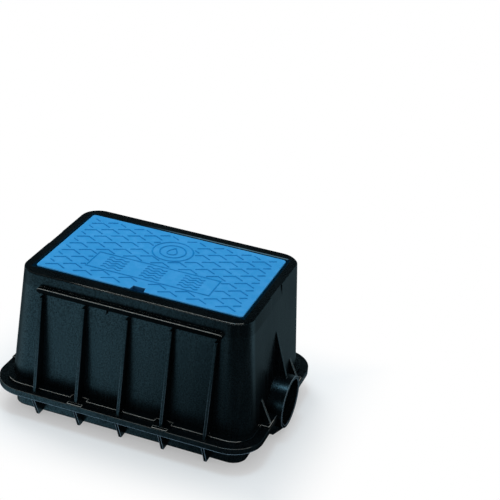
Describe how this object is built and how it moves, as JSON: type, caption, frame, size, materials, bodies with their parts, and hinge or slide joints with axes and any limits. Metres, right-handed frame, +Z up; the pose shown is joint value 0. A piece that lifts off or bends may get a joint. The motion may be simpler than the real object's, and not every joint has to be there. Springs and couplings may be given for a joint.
{
  "type": "water meter box",
  "caption": "Ribbed moulded ground box with an open base, a flanged foot, a pipe collar at each end and a hinged lid with raised tread, for housing a water meter.",
  "frame": {"origin": "centre of the box's footprint, on the plane that the open base stands on", "axes": "+X along the box from one pipe collar to the other, +Y from the lid's pull notch towards its hinge, +Z up"},
  "size_m": [0.507, 0.351, 0.269],
  "materials": {
    "body_plastic": "black moulded polyethylene, satin, finely grained",
    "lid_plastic": "sky blue moulded polypropylene, satin",
    "plate_plastic": "near black, dull"
  },
  "bodies": {
    "box": {"box_body": "body_plastic"},
    "lid": {"lid": "lid_plastic", "marker_plate_1": "plate_plastic", "marker_plate_2": "plate_plastic", "marker_plate_3": "plate_plastic", "marker_plate_4": "plate_plastic"}
  },
  "joints": [
    {"name": "lid_hinge", "type": "hinge", "parent": "box", "child": "lid", "pos_m": [0, 0.0905, 0.26], "axis": [-1, 0, 0], "range_deg": [0, 110]}
  ]
}
